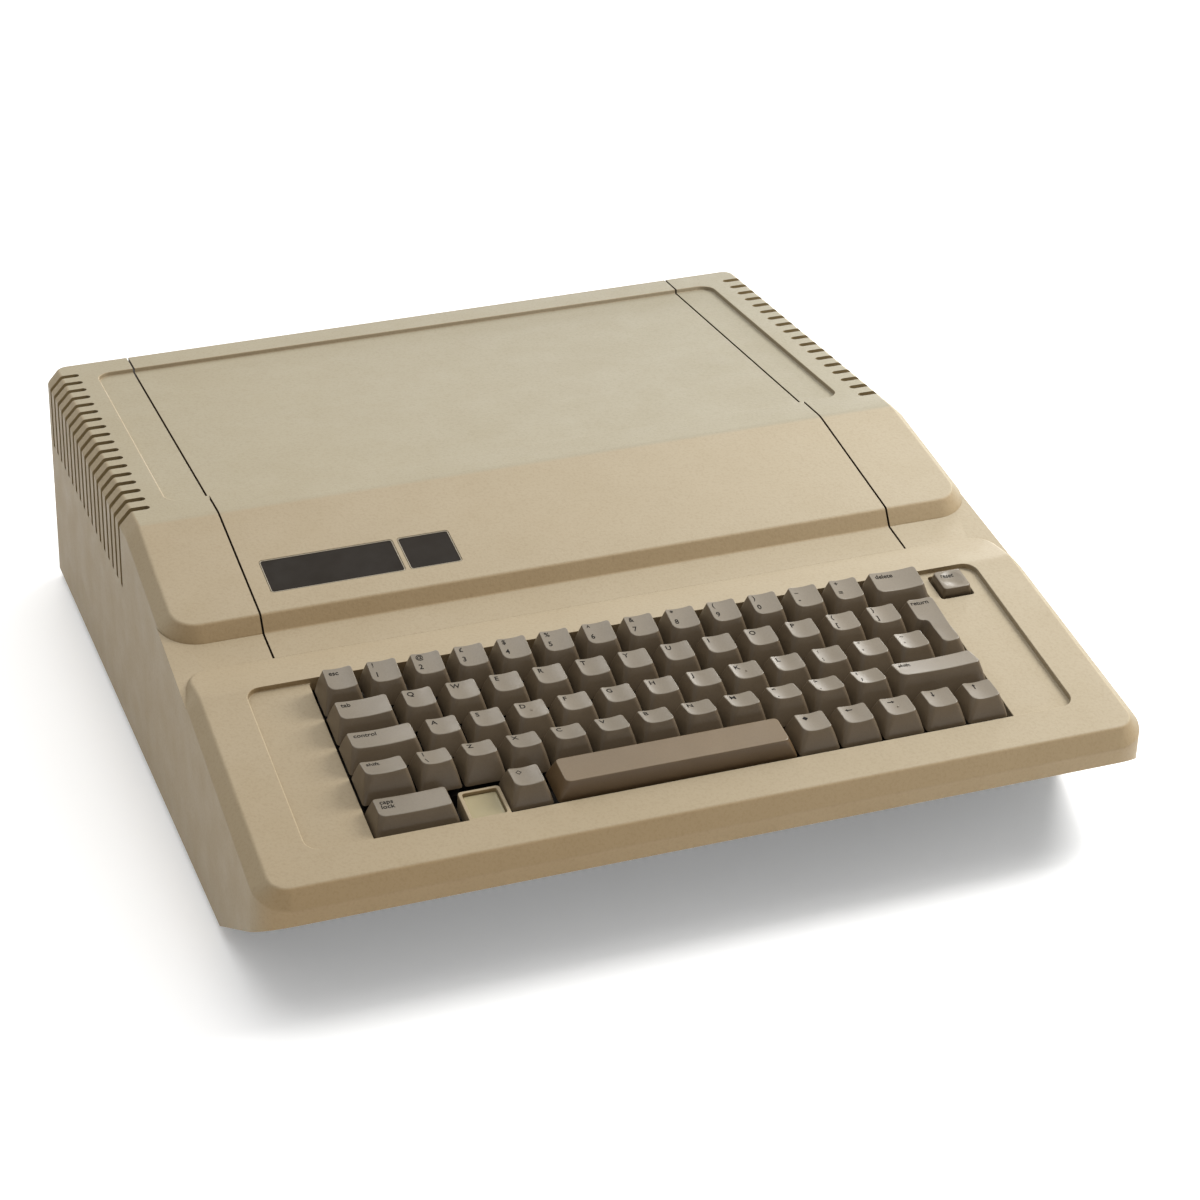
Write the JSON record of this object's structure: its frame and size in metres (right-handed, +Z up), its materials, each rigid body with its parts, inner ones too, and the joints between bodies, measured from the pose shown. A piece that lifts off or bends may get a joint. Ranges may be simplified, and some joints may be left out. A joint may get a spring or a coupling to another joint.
{
  "type": "vintage home computer",
  "caption": "Wedge-shaped desktop home computer with a built-in keyboard, a lift-off lid over the card slots and connectors at the back.",
  "frame": {"origin": "on the ground under the middle of the object, halfway between its front and rear edges", "axes": "+X to the right seen by the typist, +Y to the back, +Z up"},
  "size_m": [0.388, 0.4536, 0.114],
  "materials": {
    "case_plastic": "fine moulded texture, slightly yellowed beige",
    "badge_enamel": "smooth dark charcoal, bare",
    "zinc_plate": "plain zinc-coated sheet",
    "steel": "plated steel",
    "brass_pins": "bare contact pins",
    "foot_rubber": "matt black rubber",
    "black_plastic": "matt black moulding",
    "rocker_plastic": "glossy black moulding",
    "speaker_black": "black basket and paper cone",
    "lead_jacket": "grey flexible jacket",
    "red_lead": "red flexible jacket",
    "nylon": "off-white nylon",
    "board_green": "green solder resist on glass laminate",
    "slot_green": "green moulding",
    "chip_black": "black moulded package",
    "component_orange": "dipped component",
    "lamp_lens": "cream translucent lens, bare",
    "key_plastic": "taupe key cap with a faint sheen"
  },
  "bodies": {
    "chassis": {"upper_case": "case_plastic", "base_pan": "zinc_plate", "feet": "foot_rubber", "case_screws": "steel", "rear_panel": "case_plastic", "port_covers": "case_plastic", "psu_case": "zinc_plate", "power_inlet": "black_plastic", "power_pins": "brass_pins", "switch_housing": "black_plastic", "power_lead": "lead_jacket", "power_plug": "nylon", "main_board": "board_green", "board_standoffs": "nylon", "card_slots": "black_plastic", "aux_slot": "slot_green", "logic_chips": "chip_black", "memory_chips": "chip_black", "board_components": "component_orange", "video_jack": "steel", "cassette_jacks": "black_plastic", "game_port": "steel", "speaker": "speaker_black", "speaker_lead": "red_lead", "keyboard_plate": "steel", "keyboard_board": "board_green", "keyboard_screws": "steel", "key_switches": "black_plastic", "space_guides": "nylon", "keyboard_ribbon": "lead_jacket", "ribbon_plug": "black_plastic", "power_lamp": "lamp_lens", "lamp_holder": "black_plastic"},
    "lid": {"lid": "case_plastic", "badge_plate_large": "badge_enamel", "badge_plate_small": "badge_enamel", "lid_latches": "case_plastic"},
    "power_rocker": {"power_rocker": "rocker_plastic"},
    "key_escape": {"key_escape": "key_plastic"},
    "key_delete": {"key_delete": "key_plastic"},
    "key_tab": {"key_tab": "key_plastic"},
    "key_return": {"key_return": "key_plastic"},
    "key_control": {"key_control": "key_plastic"},
    "key_shift_left": {"key_shift_left": "key_plastic"},
    "key_shift_right": {"key_shift_right": "key_plastic"},
    "key_caps_lock": {"key_caps_lock": "key_plastic"},
    "key_option_left": {"key_option_left": "key_plastic"},
    "key_space": {"key_space": "key_plastic"},
    "key_option_right": {"key_option_right": "key_plastic"},
    "key_arrow_left": {"key_arrow_left": "key_plastic"},
    "key_arrow_right": {"key_arrow_right": "key_plastic"},
    "key_arrow_down": {"key_arrow_down": "key_plastic"},
    "key_arrow_up": {"key_arrow_up": "key_plastic"},
    "key_reset": {"key_reset": "key_plastic"},
    "keys_number_row": {"keys_number_row": "key_plastic"},
    "keys_upper_row": {"keys_upper_row": "key_plastic"},
    "keys_home_row": {"keys_home_row": "key_plastic"},
    "keys_lower_row": {"keys_lower_row": "key_plastic"}
  },
  "joints": [
    {"name": "lid_lift", "type": "slide", "parent": "chassis", "child": "lid", "axis": [0, 0, 1], "range_m": [0, 0.06]},
    {"name": "power_rocker_tilt", "type": "hinge", "parent": "chassis", "child": "power_rocker", "pos_m": [-0.115, 0.21025, 0.04], "axis": [1, 0, 0], "range_deg": [-16, 0]},
    {"name": "key_escape_press", "type": "slide", "parent": "chassis", "child": "key_escape", "axis": [0, 0.2198, -0.9755], "range_m": [0, 0.0038], "stiffness_N_per_m": 80, "springref_m": -0.004},
    {"name": "key_delete_press", "type": "slide", "parent": "chassis", "child": "key_delete", "axis": [0, 0.2198, -0.9755], "range_m": [0, 0.0038], "stiffness_N_per_m": 80, "springref_m": -0.004},
    {"name": "key_tab_press", "type": "slide", "parent": "chassis", "child": "key_tab", "axis": [0, 0.2198, -0.9755], "range_m": [0, 0.0038], "stiffness_N_per_m": 80, "springref_m": -0.004},
    {"name": "key_return_press", "type": "slide", "parent": "chassis", "child": "key_return", "axis": [0, 0.2198, -0.9755], "range_m": [0, 0.0038], "stiffness_N_per_m": 80, "springref_m": -0.004},
    {"name": "key_control_press", "type": "slide", "parent": "chassis", "child": "key_control", "axis": [0, 0.2198, -0.9755], "range_m": [0, 0.0038], "stiffness_N_per_m": 80, "springref_m": -0.004},
    {"name": "key_shift_left_press", "type": "slide", "parent": "chassis", "child": "key_shift_left", "axis": [0, 0.2198, -0.9755], "range_m": [0, 0.0038], "stiffness_N_per_m": 80, "springref_m": -0.004},
    {"name": "key_shift_right_press", "type": "slide", "parent": "chassis", "child": "key_shift_right", "axis": [0, 0.2198, -0.9755], "range_m": [0, 0.0038], "stiffness_N_per_m": 80, "springref_m": -0.004},
    {"name": "key_caps_lock_press", "type": "slide", "parent": "chassis", "child": "key_caps_lock", "axis": [0, 0.2198, -0.9755], "range_m": [-0.003, 0.0008]},
    {"name": "key_option_left_press", "type": "slide", "parent": "chassis", "child": "key_option_left", "axis": [0, 0.2198, -0.9755], "range_m": [0, 0.0038], "stiffness_N_per_m": 80, "springref_m": -0.004},
    {"name": "key_space_press", "type": "slide", "parent": "chassis", "child": "key_space", "axis": [0, 0.2198, -0.9755], "range_m": [0, 0.0038], "stiffness_N_per_m": 120, "springref_m": -0.004},
    {"name": "key_option_right_press", "type": "slide", "parent": "chassis", "child": "key_option_right", "axis": [0, 0.2198, -0.9755], "range_m": [0, 0.0038], "stiffness_N_per_m": 80, "springref_m": -0.004},
    {"name": "key_arrow_left_press", "type": "slide", "parent": "chassis", "child": "key_arrow_left", "axis": [0, 0.2198, -0.9755], "range_m": [0, 0.0038], "stiffness_N_per_m": 80, "springref_m": -0.004},
    {"name": "key_arrow_right_press", "type": "slide", "parent": "chassis", "child": "key_arrow_right", "axis": [0, 0.2198, -0.9755], "range_m": [0, 0.0038], "stiffness_N_per_m": 80, "springref_m": -0.004},
    {"name": "key_arrow_down_press", "type": "slide", "parent": "chassis", "child": "key_arrow_down", "axis": [0, 0.2198, -0.9755], "range_m": [0, 0.0038], "stiffness_N_per_m": 80, "springref_m": -0.004},
    {"name": "key_arrow_up_press", "type": "slide", "parent": "chassis", "child": "key_arrow_up", "axis": [0, 0.2198, -0.9755], "range_m": [0, 0.0038], "stiffness_N_per_m": 80, "springref_m": -0.004},
    {"name": "key_reset_press", "type": "slide", "parent": "chassis", "child": "key_reset", "axis": [0, 0.2198, -0.9755], "range_m": [0, 0.003], "stiffness_N_per_m": 150, "springref_m": -0.004},
    {"name": "keys_number_row_press", "type": "slide", "parent": "chassis", "child": "keys_number_row", "axis": [0, 0.2198, -0.9755], "range_m": [0, 0.0038], "stiffness_N_per_m": 900, "springref_m": -0.004},
    {"name": "keys_upper_row_press", "type": "slide", "parent": "chassis", "child": "keys_upper_row", "axis": [0, 0.2198, -0.9755], "range_m": [0, 0.0038], "stiffness_N_per_m": 900, "springref_m": -0.004},
    {"name": "keys_home_row_press", "type": "slide", "parent": "chassis", "child": "keys_home_row", "axis": [0, 0.2198, -0.9755], "range_m": [0, 0.0038], "stiffness_N_per_m": 900, "springref_m": -0.004},
    {"name": "keys_lower_row_press", "type": "slide", "parent": "chassis", "child": "keys_lower_row", "axis": [0, 0.2198, -0.9755], "range_m": [0, 0.0038], "stiffness_N_per_m": 900, "springref_m": -0.004}
  ]
}
